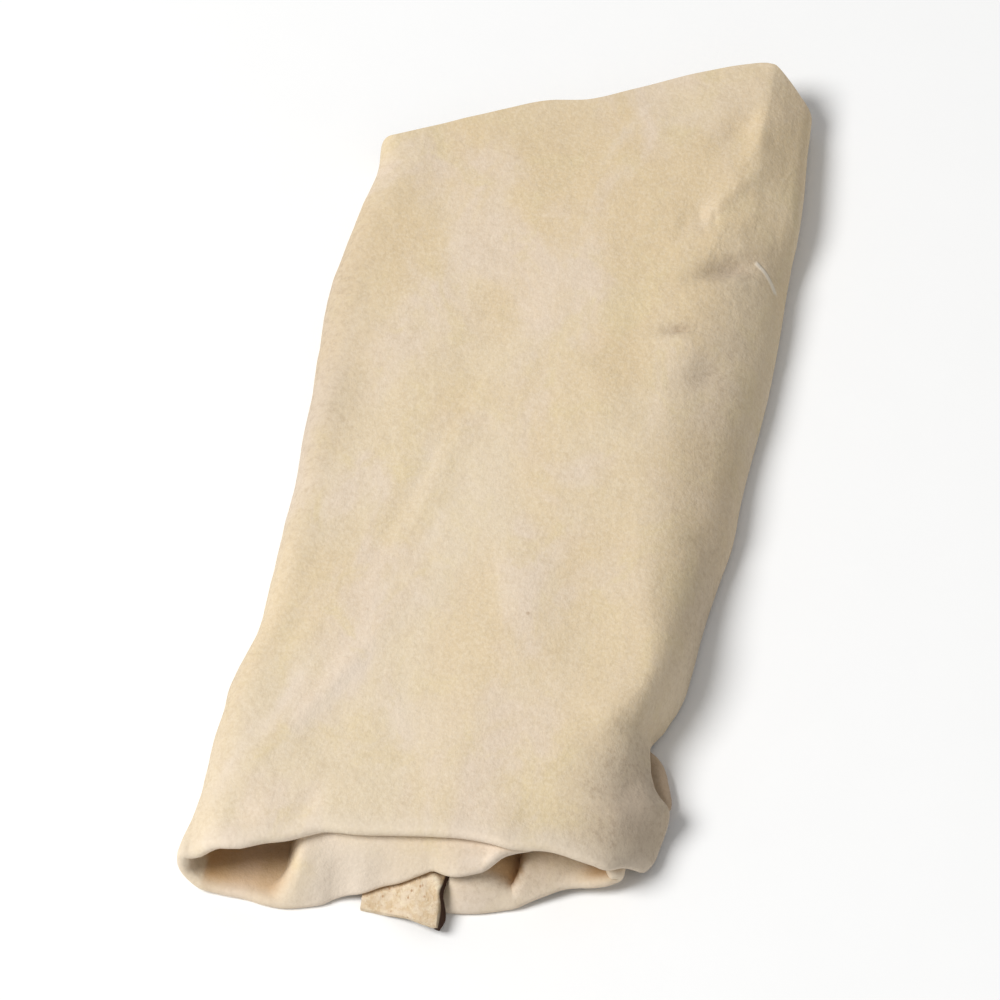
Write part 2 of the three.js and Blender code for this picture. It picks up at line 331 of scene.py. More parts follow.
def turn_piece(s, v):
    angle = np.radians(270 - 180 * s)
    power = mix(*TURN_POWERS, ease(v, *TURN_FADE))
    depth = turn_x(v) - through(LEFT_EDGE, left_place(v)) - LAYER / 2
    cosine = np.sign(np.cos(angle)) * np.abs(np.cos(angle)) ** power
    sine = np.sign(np.sin(angle)) * np.abs(np.sin(angle)) ** power
    x = turn_x(v) + depth * cosine
    high = cover_z(turn_x(v), v)
    z = (FLOOR_Z + high) / 2 + (high - FLOOR_Z) / 2 * sine
    z = z - through(RIM_DROOP, x) * ease(sine, 0, 0.6) * (1 - ease(v, *DROOP_FADE))
    mouth = mix(lower_mouth(x), cover_mouth(x), (np.sin(angle) + 1) / 2)
    return x, mix(mouth, cover_far(x), v), z


def top_piece(s, v):
    x = mix(turn_x(v), flank_start(v), s)
    return x, mix(cover_mouth(x), cover_far(x), v), cover_z(x, v)


def flank_piece(s, v):
    start = flank_start(v)
    top = cover_z(start, v)
    end_y = mix(*FLANK_ENDS, v)
    lifted = 1 - ease(end_y, *LIFT_FADE)
    edge = mix(through(RIGHT_EDGE, end_y) - LAYER / 2, through(SIDE_RIM, end_y) - SIDE_RIM_INSET, lifted)
    low = mix(FLOOR_Z + EDGE_AIR, through(SIDE_RIM_Z, end_y), lifted)
    plain = mix(along(ROUND, s), along(BEVEL, s), ease(end_y, *BEVEL_FADE))
    across, down = mix(plain, along(LIFTED, s), lifted)
    x = start + (edge - start) * across
    late = end_y - mix(cover_mouth(edge), cover_far(edge), v)
    return x, mix(cover_mouth(x), cover_far(x), v) + late * across**3, top - (top - low) * down


# Inner roll, from the seam up to the cover, round the right loop and back on the table
def rise_piece(s, v):
    foot_share, top_share = WALL_SHARES
    foot = mix(SEAM_X, WALL_X[0], ramp(s, 0, foot_share))
    wall = mix(foot, WALL_X[1], ramp(s, foot_share, top_share))
    x = mix(wall, flank_start(v), ramp(s, top_share, 1))
    y = mix(lower_mouth(x), inner_far(x), v)
    under = cover_z(x, v) - LAYER_STEP
    rim = mix(through(LOWER_RIM_Z, x), under, ease(x, *RIM_JOIN))
    run = np.maximum(cover_mouth(x) + RISE_PAST_RIM - lower_mouth(x), RISE_RUN)
    face = mix(rim, under, arch((y - lower_mouth(x)) / run))
    deep = ease(y, *DEEP_FADE)
    slant = WALL_SLANT * (1 - ease(y, *WALL_SLANT_FADE))
    low_x = mix(WALL_X[0] - slant, DEEP_WALL_X[0], deep)
    high_x = mix(WALL_X[1] - slant / 4, DEEP_WALL_X[1], deep)
    return x, y, mix(FLOOR_Z, face, ease(x, low_x, high_x))


def pocket_place(x, y):
    """x, straightened along the pocket's right side, which slants at the mouth."""
    return x - POCKET_SLANT * ease(y, *SLANT_FADE)


def back_z(x, y):
    """Height of the middle of the back layer, which swells at the mouth and has a pocket in the swell."""
    rim = through(BACK_RIM_Z, x)
    swell = mix(rim, through(BACK_PUFF_Z, x), arch((y - back_mouth(x)) / PUFF_RUN))
    swell = swell - through(POCKET_DEPTH, pocket_place(x, y)) * ease(y, *POCKET_FADE)
    return mix(swell, FLOOR_Z, ease(y, *PUFF_FADE))


def before_end(y, fades, low):
    """1 before a zone's end and 0 after it. The end moves from the first fade to the second as low grows."""
    (start, end), (low_start, low_end) = fades
    return 1 - ease(y, mix(start, low_start, low), mix(end, low_end, low))


def loop_zones(s, v):
    """Places along the loop, and how far each belongs to the mouth's corner and to the bulge beside it."""
    y = mix(*LOOP_ENDS, v)
    low = ease(s, *FOOT_FADE)
    corner = before_end(y, CORNER_FADES, low)
    return y, corner, before_end(y, BULGE_FADES, low) * (1 - corner)


def loop_x(start, y, across):
    """x of the plain loop, which follows the right outline inside the flank."""
    edge = through(RIGHT_EDGE, y) - LAYER / 2 - LAYER_STEP - LOOP_AIR
    return start + (edge - start) * across


def loop_piece(s, v):
    y, corner, bulge = loop_zones(s, v)
    start = flank_start(v)
    high = cover_z(start, v) - LAYER_STEP
    across, down = mix(along(LOOP, s), along(LOOP_BEVEL, s), ease(y, *BEVEL_FADE))
    bulge_x, bulge_z, follow = along(LOOP_BULGE, s)
    bulge_x = bulge_x + follow * (through(BULGE_EDGE, y) - LAYER / 2 - BULGE_NOMINAL_X)
    corner_x, corner_z, settled = along(LOOP_CORNER, s)
    x = mix(mix(loop_x(start, y, across), bulge_x, bulge), corner_x, corner)
    low = back_z(x, mix(back_mouth(x), inner_far(x), v))
    z = mix(mix(high - (high - low) * down, bulge_z, bulge), mix(corner_z, low, settled), corner)
    meet = 1 - ease(s, 0, 0.12)
    x = mix(x, loop_x(start, y, across), meet)
    z = mix(mix(z, high, meet), low, ease(s, 0.94, 1))
    set_back = LOOP_SET_BACK * ease(s, 0.05, 0.2) * (1 - ease(s, 0.48, 0.62))
    mouth = mix(lower_mouth(x), back_mouth(x), ease(s, 0.2, 0.6)) + set_back
    return x, mix(mouth, inner_far(x), v), z


def back_piece(s, v):
    y, corner, bulge = loop_zones(1, v)
    right = mix(loop_x(flank_start(v), y, LOOP[-1][0]), LOOP_BULGE[-1][0], bulge)
    x = mix(mix(right, LOOP_CORNER[-1][0], corner), BACK_LEFT_X, s)
    y = mix(back_mouth(x), inner_far(x), v)
    return x, y, back_z(x, y)


# Dents and ridges of the top: x, y, half width, half length, turn to the right in degrees, height
DENTS = (
    (51, 139, 4.5, 11, 28, -2.2),
    (57, 136, 2.2, 16, -4, 0.7),
    (52, 110, 2.2, 14, 30, 0.9),
    (42.5, 98, 3.5, 5, 0, -0.9),
    (38.5, 94, 1.1, 3.5, 12, -0.8),
    (43.5, 98, 1.1, 3, 0, -0.7),
    (48, 97, 1.1, 3, -10, -0.6),
    (54.5, 80.5, 3.1, 9.5, 55, -3.9),
    (48, 91, 3.2, 9, 56, 0.8),
    (57, 74, 3, 9, 50, 0.6),
    (44.5, 51.5, 6.5, 1.9, -22, -2.2),
    (44, 48, 8, 2.2, -20, 0.7),
    (54, 37, 4, 9, 35, -1.6),
    (48, 28, 3, 9, 35, 0.4),
    (65, -22, 6, 2, -40, -1.2),
    (58, 10, 6, 14, 0, -0.5),
    (-40, -102, 2.2, 26, 27, 0.55),
    (-50, -112, 2.2, 22, 18, 0.4),
    (-45, -96, 4, 22, 24, -0.45),
    (-32, -104, 5, 20, 24, -0.4),
    (-61, -60, 4, 26, 3, 0.5),
    (-56, -84, 3, 14, 30, -0.6),
    (-26, -18, 2.5, 36, 14, -0.4),
    (-20, -14, 3, 34, 12, 0.35),
    (8, -70, 10, 34, 10, 0.5),
    (34, -70, 9, 24, 8, -0.7),
    (22, 30, 12, 26, -8, 0.6),
    (-42, 70, 8, 26, 12, -0.6),
    (-54, 96, 4, 14, 10, 0.5),
    (-57, -151, 5, 4, -60, -1.1),
    (-38, -145, 7, 3, -70, -0.9),
    (30, -132, 10, 7, 60, -0.6),
    (56, -118, 5, 9, 10, -0.8),
)
DENT_SPREAD = 1.2

# Slow waves, as height, length along the first and the second axis, seed. The top and the corner take x
# and y, and the sides take y and z
TOP_WAVES = (0.8, 34, 52, 3.1)
SIDE_WAVES = (0.7, 30, 22, 8.4)
CORNER_WAVES = (0.2, 6, 6, 2.2)

# Noise: its fractal exponent, the step in scale between octaves, and the number of octaves
OCTAVES = (0.9, 2.1, 3)

# Heights over which the dents take hold, and where the sides are, from the middle and in height
UPPER_Z = (5, 17)
MIDDLE_X = 2
SIDE_X = (54, 66)
SIDE_Z = (2, 8)


def bump_of(x, y, mark):
    """Height of one dent at each place, or strength of one patch."""
    cx, cy, wide, long, turned, height = mark
    c, s = math.cos(math.radians(turned)), math.sin(math.radians(turned))
    a = ((x - cx) * c - (y - cy) * s) / wide
    b = ((x - cx) * s + (y - cy) * c) / long
    return height * np.exp(-(a * a + b * b) / DENT_SPREAD)


def waves_of(a, b, waves):
    height, long_a, long_b, seed = waves
    places = zip((a / long_a).ravel(), (b / long_b).ravel())
    values = [noise.fractal(Vector((pa, pb, seed)), *OCTAVES) for pa, pb in places]
    return height * np.array(values).reshape(a.shape)


def drape(points):
    """Moves the upper layers by the same dents, so that they stay on each other, and the sides a little."""
    x, y, z = np.moveaxis(points.copy(), -1, 0)
    dents = sum(bump_of(x, y, mark) for mark in DENTS) + waves_of(x, y, TOP_WAVES)
    points[..., 2] += ease(z, *UPPER_Z) * dents
    side = ease(np.abs(x - MIDDLE_X), *SIDE_X) * ease(z, *SIDE_Z)
    points[..., 0] += side * waves_of(y, z, SIDE_WAVES)
    points[..., 2] = np.maximum(points[..., 2], PLY / 2)
    return points


# Meshes. The rows along the roll lie closer at the mouth: their places are an even share plus a power
ROWS = 220
EVEN_SHARE = 0.25
CROWDING = 1.6

# Steps round the fold at the mouth
RIM_STEPS = 9

# Extra air between the plies at the mouth: at the seam, the columns over which it becomes the sheet's own,
# and how far back it runs
SEAM_SWELL = 0.5
SEAM_COLUMNS = (4, 24)
SWELL_RUN = 5

# How much less air and leather there is at a sheet's last column, and the columns that the leather thins over
PINCH = 0.9
THINNING = 0.4
THIN_COLUMNS = 6

# Lowest height of a mesh, and the angle from which an edge looks sharp
LOWEST = 0.02
SHARP_DEGREES = 50


def section(pieces):
    """The middle of a layer, as columns across the roll and rows along it."""
    row = np.linspace(0, 1, ROWS)
    row = EVEN_SHARE * row + (1 - EVEN_SHARE) * row**CROWDING
    parts = []
    for number, (piece, columns) in enumerate(pieces):
        s, v = np.meshgrid(np.linspace(0, 1, columns), row, indexing="ij")
        made = np.stack(piece(s, v), axis=-1)
        parts.append(made if number == 0 else made[1:])
    return np.concatenate(parts)


def normals(sheet):
    normal = np.cross(np.gradient(sheet, axis=0), np.gradient(sheet, axis=1))
    return normal / np.linalg.norm(normal, axis=-1, keepdims=True)


def doubled(middle, swell, pinch):
    """One sheet from the far end of the upper ply, round the fold at the mouth, to the far end of the lower.

    The air between the plies grows by swell at the mouth and closes over the last columns, pinch of them.
    """
    depth = np.linalg.norm(middle - middle[:, :1], axis=-1)
    column = np.arange(len(middle))[:, None]
    last = len(middle) - 1
    swell = mix(SEAM_SWELL, swell, ease(column, *SEAM_COLUMNS))
    gap = PLY_GAP + swell * np.exp(-((depth / SWELL_RUN) ** 2))
    gap = gap * (1 - PINCH * ease(column, last - pinch, last))
    half = normals(middle) * ((PLY + gap) / 2)[..., None]
    first, second = middle + half, middle - half
    centre, reach = middle[:, 0], half[:, 0]
    outward = middle[:, 0] - middle[:, 2]
    outward /= np.linalg.norm(outward, axis=-1, keepdims=True)
    size = np.linalg.norm(reach, axis=-1, keepdims=True)
    rim = []
    for number in range(1, RIM_STEPS):
        angle = math.pi / 2 - math.pi * number / RIM_STEPS
        rim.append(centre + reach * math.sin(angle) + outward * size * math.cos(angle))
    return np.concatenate([first[:, ::-1], np.stack(rim, axis=1), second], axis=1)


def thick_mesh(name, sheet, thickness, marks):
    """A closed mesh of a sheet of points, half its thickness to each side of them."""
    columns, rows = sheet.shape[:2]
    thinned = 1 - THINNING * ease(np.arange(columns), columns - THIN_COLUMNS, columns - 1)
    offset = normals(sheet) * thickness / 2 * thinned[:, None, None]
    both = np.concatenate([(sheet + offset).reshape(-1, 3), (sheet - offset).reshape(-1, 3)])
    both[:, 2] = np.maximum(both[:, 2], LOWEST)
    grid = np.arange(columns * rows).reshape(columns, rows)
    low = grid + columns * rows
    quads = [np.stack([grid[:-1, :-1], grid[1:, :-1], grid[1:, 1:], grid[:-1, 1:]], -1).reshape(-1, 4),
             np.stack([low[:-1, :-1], low[:-1, 1:], low[1:, 1:], low[1:, :-1]], -1).reshape(-1, 4)]
    edge = np.concatenate([grid[:, 0], grid[-1, 1:], grid[-2::-1, -1], grid[0, -2:0:-1]])
    below = edge + columns * rows
    quads.append(np.stack([edge, below, np.roll(below, -1), np.roll(edge, -1)], -1))
    mesh = bpy.data.meshes.new(name)
    mesh.from_pydata(((both + SHIFT) * MM).tolist(), [], np.concatenate(quads).tolist())
    for key, values in marks.items():
        attribute = mesh.attributes.new(key, "FLOAT", "POINT")
        attribute.data.foreach_set("value", np.tile(np.broadcast_to(values, (columns, rows)).ravel(), 2))
    place = mesh.attributes.new("skin_place", "FLOAT_VECTOR", "POINT")
    place.data.foreach_set("vector", (both * MM).astype(np.float32).ravel())
    mesh.polygons.foreach_set("use_smooth", [True] * len(mesh.polygons))
    mesh.set_sharp_from_angle(angle=math.radians(SHARP_DEGREES))
    mesh.validate()
    piece = bpy.data.objects.new(name, mesh)
    bpy.context.collection.objects.link(piece)
    return piece


# Pale streaks, partly rubbed nap and partly painted highlight on soft ridges, as for the dents
STREAKS = (
    (-36, -101, 2.6, 26, 27, 1),
    (-52, -108, 1.6, 18, 18, 0.8),
    (-29, -62, 1.6, 9, 16, 0.7),
    (-62, -130, 2, 14, 14, 0.7),
    (-66, -20, 3, 40, 2, 0.6),
    (-60, 20, 2.4, 22, 6, 0.5),
    (-8, -30, 9, 34, 10, 0.55),
    (-10, -110, 16, 14, 30, 0.5),
    (14, 131, 1.3, 17, 20, 0.7),
    (30, 138, 2.5, 14, 60, 0.4),
    (-19, -40, 1.8, 16, 16, 0.6),
    (-26, -16, 2, 12, 8, 0.5),
    (4, 60, 12, 26, 10, 0.35),
)

# Patches of painted shade on slopes, dents and creases that turn from the light and on faces under overhangs,
# on the cover and on the roll, as for the dents
SHADES = (
    (58, -123, 13, 22, 8, 0.8),
    (68, -55, 5, 30, 0, 0.3),
    (56, 81, 4.5, 10, 55, 0.5),
    (45, 52.3, 5.5, 1.9, -22, 0.5),
    (54, 37, 4, 7, 35, 0.25),
    (-60, -5, 9, 30, 6, 0.13),
    (-72, 20, 11, 100, 0, 0.5),
    (-71, -120, 4, 40, 0, 0.15),
    (60, 20, 9, 60, 0, 0.25),
)
ROLL_SHADES = (
    (15, -152, 9, 7, 0, 0.3),
    (37, -149, 12, 7, 0, 0.32),
)

# Patches of fine crinkles, as for the dents
CRINKLES = (
    (54, 84, 15, 62, 18, 1),
    (58, -112, 12, 26, 8, 0.5),
    (-56, -136, 12, 20, 10, 0.3),
)

# Where the painted brown shade of the left loop thins out behind the rim, and by how much
LOOP_SHADE_FADE = (14, 28)
LOOP_SHADE_LOSS = 0.75

# Rows on each side of the fold over which the rim's painted highlight fades
RIM_ROWS = (2, 22)

# The back layer's face, which shows in the mouth, starts after this column of the roll
BACK_COLUMN = 108


def spread_of(patches, x, y):
    """How strongly the patches mark each place, from 0 to 1."""
    return np.clip(sum(bump_of(x, y, patch) for patch in patches), 0, 1)


def layer_marks(sheet, shades):
    """Where the fold's rim is, with a painted highlight; where the leather faces into a loop, with painted
    brown shade; where it is pale with rubbed nap and painted highlight; and where shade is painted on it.

    Also gives how far behind the rim each place is, and how much of it is the left loop's floor.
    """
    x, y, z = np.moveaxis(sheet, -1, 0)
    rows = sheet.shape[1]
    from_rim = np.arange(rows)[None, :] - (rows - 1) / 2
    behind = np.abs(y - y[:, rows // 2][:, None])
    left = 1 - ease(x, -45, -36)
    deep = mix(0.2, 1, 1 - ease(x, -50, -16)) * ease(behind, mix(-1, -2, left), mix(8, 5, left))
    # The rim mark paints a highlight, inside paints brown shade in the loops, pale is partly painted
    # highlight and shade paints shade
    marks = {"rim": 1 - ease(np.abs(from_rim), *RIM_ROWS),
             "inside": (from_rim > 0) * deep,
             "pale": spread_of(STREAKS, x, y) * ease(z, 8, 16),
             "crinkle": spread_of(CRINKLES, x, y),
             "shade": spread_of(shades, x, y)}
    return marks, behind, left * deep


def cover_marks(sheet):
    """The cover's marks, with less painted brown shade towards both ends of the left loop and a pale free
    edge.
    """
    marks, behind, _ = layer_marks(sheet, SHADES)
    x = sheet[..., 0]
    marks["inside"] *= 1 - (1 - ease(x, -66.8, -65.6)) * (1 - ease(behind, 7, 11))
    marks["inside"] *= 1 - LOOP_SHADE_LOSS * ease(behind, *LOOP_SHADE_FADE) * ease(x, -64, -54)
    marks["inside"] *= 1 - 0.35 * ease(x, -67, -54)
    free_edge = ease(np.arange(len(sheet)), len(sheet) - 4, len(sheet) - 2)[:, None]
    marks["rim"] = np.maximum(marks["rim"], free_edge)
    return marks


def roll_marks(sheet):
    """The roll's marks, with painted shade on the left loop's floor and wall, the back layer's face and the
    bulge, and painted light on the hanging layer.
    """
    marks, behind, left_floor = layer_marks(sheet, ROLL_SHADES)
    x, y = sheet[..., 0], sheet[..., 1]

    # Left loop, with painted brown shade on its floor and painted shade at the foot of its wall
    foot = ease(x, -51.5, -48) * (1 - ease(x, -45, -41)) * ease(behind, 1, 6) * (1 - ease(behind, 14, 26))
    marks["inside"] = np.maximum(marks["inside"], left_floor)
    marks["inside"] *= 1 - (x < 0) * (1 - 0.65 * (1 - LOOP_SHADE_LOSS * ease(behind, *LOOP_SHADE_FADE)))
    marks["shade"] = np.maximum(marks["shade"], 0.3 * foot)

    # Back layer's face, with painted brown shade in the pocket and in the small loop at the right
    back_face = (np.arange(len(sheet)) > BACK_COLUMN)[:, None] * (np.arange(sheet.shape[1]) > ROWS)
    in_pocket = ease(x, 15, 19) * (1 - ease(pocket_place(x, y), 26.9, 27.9)) * ease(y, -151.5, -146)
    pocket_and_loop_shade = mix(0.95 * in_pocket + 0.12 * ease(x, 27, 30), 0.9, ease(x, 43, 51))
    pocket_and_loop_shade = pocket_and_loop_shade * ease(behind, -1, mix(8, 4, ease(x, 30, 44)))
    marks["inside"] = mix(marks["inside"], pocket_and_loop_shade, back_face * ease(y, -108, -122))

    # Painted shade on the bulge below the cover's lifted edge, and painted light on the hanging part of the
    # layer that rises from the table, which lightens its shade under the cover's rim
    bulge_face = ease(x, 53, 60) * ease(y, -122, -114) * (1 - ease(y, -97, -88))
    marks["inside"] = mix(marks["inside"], 0.3, bulge_face)
    marks["shade"] = np.maximum(marks["shade"], 0.75 * bulge_face)
    hanging = ease(x, -39, -30) * (1 - ease(x, -22, 4)) * (1 - ease(y, -150, -138))
    marks["pale"] = np.maximum(marks["pale"], 1.2 * hanging)
    return marks


COVER_PIECES = ((floor_piece, 4), (turn_piece, 28), (top_piece, 56), (flank_piece, 48))
cover_sheet = drape(doubled(section(COVER_PIECES), swell=0.7, pinch=6))
cover = thick_mesh("cover_leather", cover_sheet, PLY, cover_marks(cover_sheet))

ROLL_PIECES = ((rise_piece, 72), (loop_piece, 48), (back_piece, 64))
roll_sheet = drape(doubled(section(ROLL_PIECES), swell=0.4, pinch=3))
roll = thick_mesh("roll_leather", roll_sheet, PLY, roll_marks(roll_sheet))


# Loose corner, whose right edge is creased and turned down
def corner_sheet():
    across, back = CORNER_GRID
    u = np.linspace(0, 1, across)[:, None]
    v = np.linspace(0, 1, back)[None, :] ** CORNER_CROWDING
    front = through(CORNER_FRONT, u)
    y = mix(front, CORNER_BACK_Y, v)
    edge = through(CORNER_RIGHT, y)
    low_edge = edge + mix(0.3, 2.3, ease(y, -168, -161.5)) - 1.1 * ease(y, -161.5, -157)
    x = mix(mix(CORNER_LEFT_X, edge, ramp(u, 0, EDGE_SHARE)), low_edge, ease(u, EDGE_SHARE, 1))
    rim = through(LOWER_RIM, x)
    face = mix(through(CORNER_Z, u), through(CORNER_RIM_Z, x), ease(y, front, rim + 1))
    z = mix(face, mix(1, face - 1.1, ease(y, -163, -158)), ease(u, STRIP_SHARE, 1))
    crease = x - mix(6, 2, np.clip((y + 158) / 6, -0.2, 1.6))
    past = ease(crease, 0.4, 3) * ease(y, -159, -154)
    z = z + 0.9 * (1 - ease(np.abs(crease), 0, 2)) * ease(y, -161, -156) - 1 * past
    sheet = np.stack([x, y, z + waves_of(x, y, CORNER_WAVES)], axis=-1)
    sheet[..., 2] = np.maximum(sheet[..., 2], CORNER_LOWEST)
    # Marks: painted shade on the turned-down strip and beside the crease, a painted highlight on the crease
    # and painted shadow under the rim above
    return sheet, {"painted_edge_shade": np.maximum(ease(u, STRIP_SHARE, 0.9) + 0 * v, 0.22 * past),
                   "crease": (1 - ease(np.abs(crease), 0, 0.9)) * ease(y, -160, -157),
                   "painted_rim_shadow": ease(y, rim - 0.8, rim + 1.6)}


tab_points, tab_marks = corner_sheet()
tab = thick_mesh("loose_corner", tab_points, CORNER_PLY, tab_marks)

# Materials. Colours of the suede
ROSY = (0.765, 0.635, 0.52)
STRAW = (0.73, 0.595, 0.365)
BRUSHED = (0.64, 0.505, 0.34)
GRAIN = (0.51, 0.385, 0.24)
NAP_TIP = (0.88, 0.78, 0.63)
SPECK = (0.4, 0.27, 0.15)
# Pale rubbed nap, which also paints highlights on soft ridges and lightens a shaded hanging face
RUBBED_AND_PAINTED_LIGHT = (0.80, 0.69, 0.58)
# Painted shade, the colour of the shade patches
SHADED = (0.45, 0.365, 0.285)
# Painted highlight along the folded rims, which also lightens the cover's free edge
RIM_HIGHLIGHT = (0.80, 0.70, 0.59)
# Painted warm brown shade inside the loops, in the pocket and on the bulge
PAINTED_LOOP_SHADE = (0.52, 0.3, 0.12)
SCRATCHED = (0.86, 0.80, 0.70)

# Colours of the flesh side and of the floor
FLESH_LOW = (0.6, 0.455, 0.29)
FLESH_HIGH = (0.685, 0.565, 0.42)
FIBRE = (0.76, 0.66, 0.48)
STRAND = (0.52, 0.33, 0.15)
FLESH_SPECK = (0.36, 0.17, 0.07)
# Painted highlight on the crease's ridge
CREASE_HIGHLIGHT = (0.88, 0.8, 0.62)
# Painted shadow under the rim of the layer above
PAINTED_RIM_SHADOW = (0.5, 0.26, 0.08)
# Painted shade on the turned-down edge and beside the crease
PAINTED_EDGE_SHADE = (0.035, 0.011, 0.005)
FLOOR_LOW = (0.96, 0.96, 0.955)
FLOOR_HIGH = (0.975, 0.975, 0.97)

# Strength of the nap's bumps, and their depth in metres
NAP_BUMP = (0.5, 0.0007)

# The thin scratch: three points of the plan that it runs through, its width and the strength of its colour
SCRATCH = ((62.6, 87.4), (67.4, 84), (71.2, 79.4))
SCRATCH_WIDTH = 1.1
SCRATCH_STRENGTH = 0.6


class Nodes:
    """Short ways to add nodes to one material."""

    def __init__(self, name, roughness, specular):
        self.material = bpy.data.materials.new(name)
        self.material.use_nodes = True
        self.tree = self.material.node_tree
        self.shader = self.tree.nodes["Principled BSDF"]
        self.shader.inputs["Roughness"].default_value = roughness
        self.shader.inputs["Specular IOR Level"].default_value = specular

    def set(self, socket, value):
        """Links a socket to the output of a node, or sets its own value."""
        if hasattr(value, "links"):
            self.tree.links.new(value, socket)
        else:
            socket.default_value = value

    def put(self, kind, inputs, **settings):
        made = self.tree.nodes.new(kind)
        for key, value in settings.items():
            setattr(made, key, value)
        for key, value in inputs.items():
            self.set(made.inputs[key], value)
        return made.outputs

    def place(self):
        return self.put("ShaderNodeAttribute", {}, attribute_name="skin_place")["Vector"]

    def mark(self, name):
        """One of the marks that the mesh carries."""
        return self.put("ShaderNodeAttribute", {}, attribute_name=name)["Fac"]

    def noise(self, vector, scale, detail=4.0, rough=0.55, distortion=0.0):
        return self.put("ShaderNodeTexNoise", {"Vector": vector, "Scale": scale, "Detail": detail,
                                               "Roughness": rough, "Distortion": distortion})["Fac"]

    def stretch(self, vector, scale, turn=0.0):
        inputs = {"Vector": vector, "Scale": scale, "Rotation": (0, 0, turn)}
        return self.put("ShaderNodeMapping", inputs)["Vector"]

    def band(self, value, low, high, to_low=0.0, to_high=1.0):
        inputs = {"Value": value, "From Min": low, "From Max": high, "To Min": to_low, "To Max": to_high}
        return self.put("ShaderNodeMapRange", inputs, interpolation_type="SMOOTHSTEP")["Result"]

    def work(self, operation, a, b):
        return self.put("ShaderNodeMath", {0: a, 1: b}, operation=operation)[0]

    def plus(self, a, b):
        return self.work("ADD", a, b)

    def times(self, a, b):
        return self.work("MULTIPLY", a, b)

    def blend(self, share, a, b):
        """Colour a where share is 0, and colour b where it is 1."""
        made = self.tree.nodes.new("ShaderNodeMix")
        made.data_type = "RGBA"
        self.set(made.inputs[0], share)
        for socket, colour in ((made.inputs[6], a), (made.inputs[7], b)):
            self.set(socket, colour if hasattr(colour, "links") else (*colour, 1))
        return made.outputs[2]

    def finish(self, colour, height, strength, distance):
        self.tree.links.new(colour, self.shader.inputs["Base Color"])
        bump = self.put("ShaderNodeBump", {"Height": height, "Strength": strength, "Distance": distance})
        self.tree.links.new(bump["Normal"], self.shader.inputs["Normal"])
        return self.material


def suede(name, cream, warm):
    """Fine cream nap: slow mottling, a finer cloudiness, short pile, a few specks, painted highlights on the
    rims, pale streaks that are partly painted highlight, painted shade, and painted brown shade in the loops.
    """
    n = Nodes(name, 0.93, 0.22)
    n.shader.inputs["Sheen Weight"].default_value = 0.16
    n.shader.inputs["Sheen Roughness"].default_value = 0.45
    n.shader.inputs["Sheen Tint"].default_value = (1, 0.95, 0.9, 1)
    place = n.place()
    axes = n.put("ShaderNodeSeparateXYZ", {"Vector": place})
    golden = n.noise(n.stretch(place, (1, 0.55, 1), 0.2), 26, 3, 0.5, 0.4)
    golden = n.plus(n.band(golden, 0.36, 0.66, -0.2, 0.6), n.band(axes["Y"], -0.12, 0.08, 0.0, 0.6))
    colour = n.blend(golden, cream, warm)
    rosy = n.noise(n.stretch(place, (1, 0.6, 1), -0.15), 38, 3, 0.55, 0.6)
    rosy = n.times(n.band(rosy, 0.44, 0.66), n.band(axes["X"], 0.015, 0.05, 0.65, 0.25))
    colour = n.blend(rosy, colour, ROSY)
    straw = n.noise(n.stretch(place, (1.1, 0.8, 1), 0.5), 60, 4, 0.6, 0.8)
    colour = n.blend(n.band(straw, 0.48, 0.7, 0.0, 0.7), colour, STRAW)
    brushed = n.noise(n.stretch(place, (1, 0.5, 1), 0.3), 120, 4, 0.65, 0.5)
    colour = n.blend(n.band(brushed, 0.45, 0.75, 0.0, 0.3), colour, BRUSHED)
    # Mask of painted shade, which also strengthens the grain
    shade = n.mark("shade")
    grain = n.band(n.noise(place, 430, 3, 0.75), 0.42, 0.7)
    colour = n.blend(n.times(grain, n.band(shade, 0.0, 0.6, 0.22, 0.95)), colour, GRAIN)
    colour = n.blend(n.band(n.noise(place, 950, 2, 0.5), 0.42, 0.68, 0.0, 0.2), colour, NAP_TIP)
    cells = n.put("ShaderNodeTexVoronoi", {"Vector": place, "Scale": 62.0, "Randomness": 1.0})["Distance"]
    speck = n.times(n.band(cells, 0.05, 0.022), n.band(n.noise(place, 41, 1, 0.5), 0.64, 0.7))
    colour = n.blend(n.times(speck, 0.45), colour, SPECK)
    # Pale streaks of rubbed nap and painted light, painted shade, a painted highlight on the rims and painted
    # brown shade in the loops
    colour = n.blend(n.times(n.mark("pale"), 0.5), colour, RUBBED_AND_PAINTED_LIGHT)
    colour = n.blend(shade, colour, SHADED)
    colour = n.blend(n.times(n.mark("rim"), 0.35), colour, RIM_HIGHLIGHT)
    colour = n.blend(n.times(n.mark("inside"), 0.85), colour, PAINTED_LOOP_SHADE)
    pile = n.noise(place, 800, 3, 0.65)
    cloud = n.noise(n.stretch(place, (1, 0.7, 1), 0.4), 240, 4, 0.65)
    crinkle = n.noise(n.stretch(place, (1, 0.6, 1), 0.6), 130, 2, 0.5, 0.8)
    crinkle = n.times(crinkle, n.times(n.mark("crinkle"), 2.2))
    return n, colour, n.plus(n.plus(n.times(pile, 0.5), cloud), crinkle)


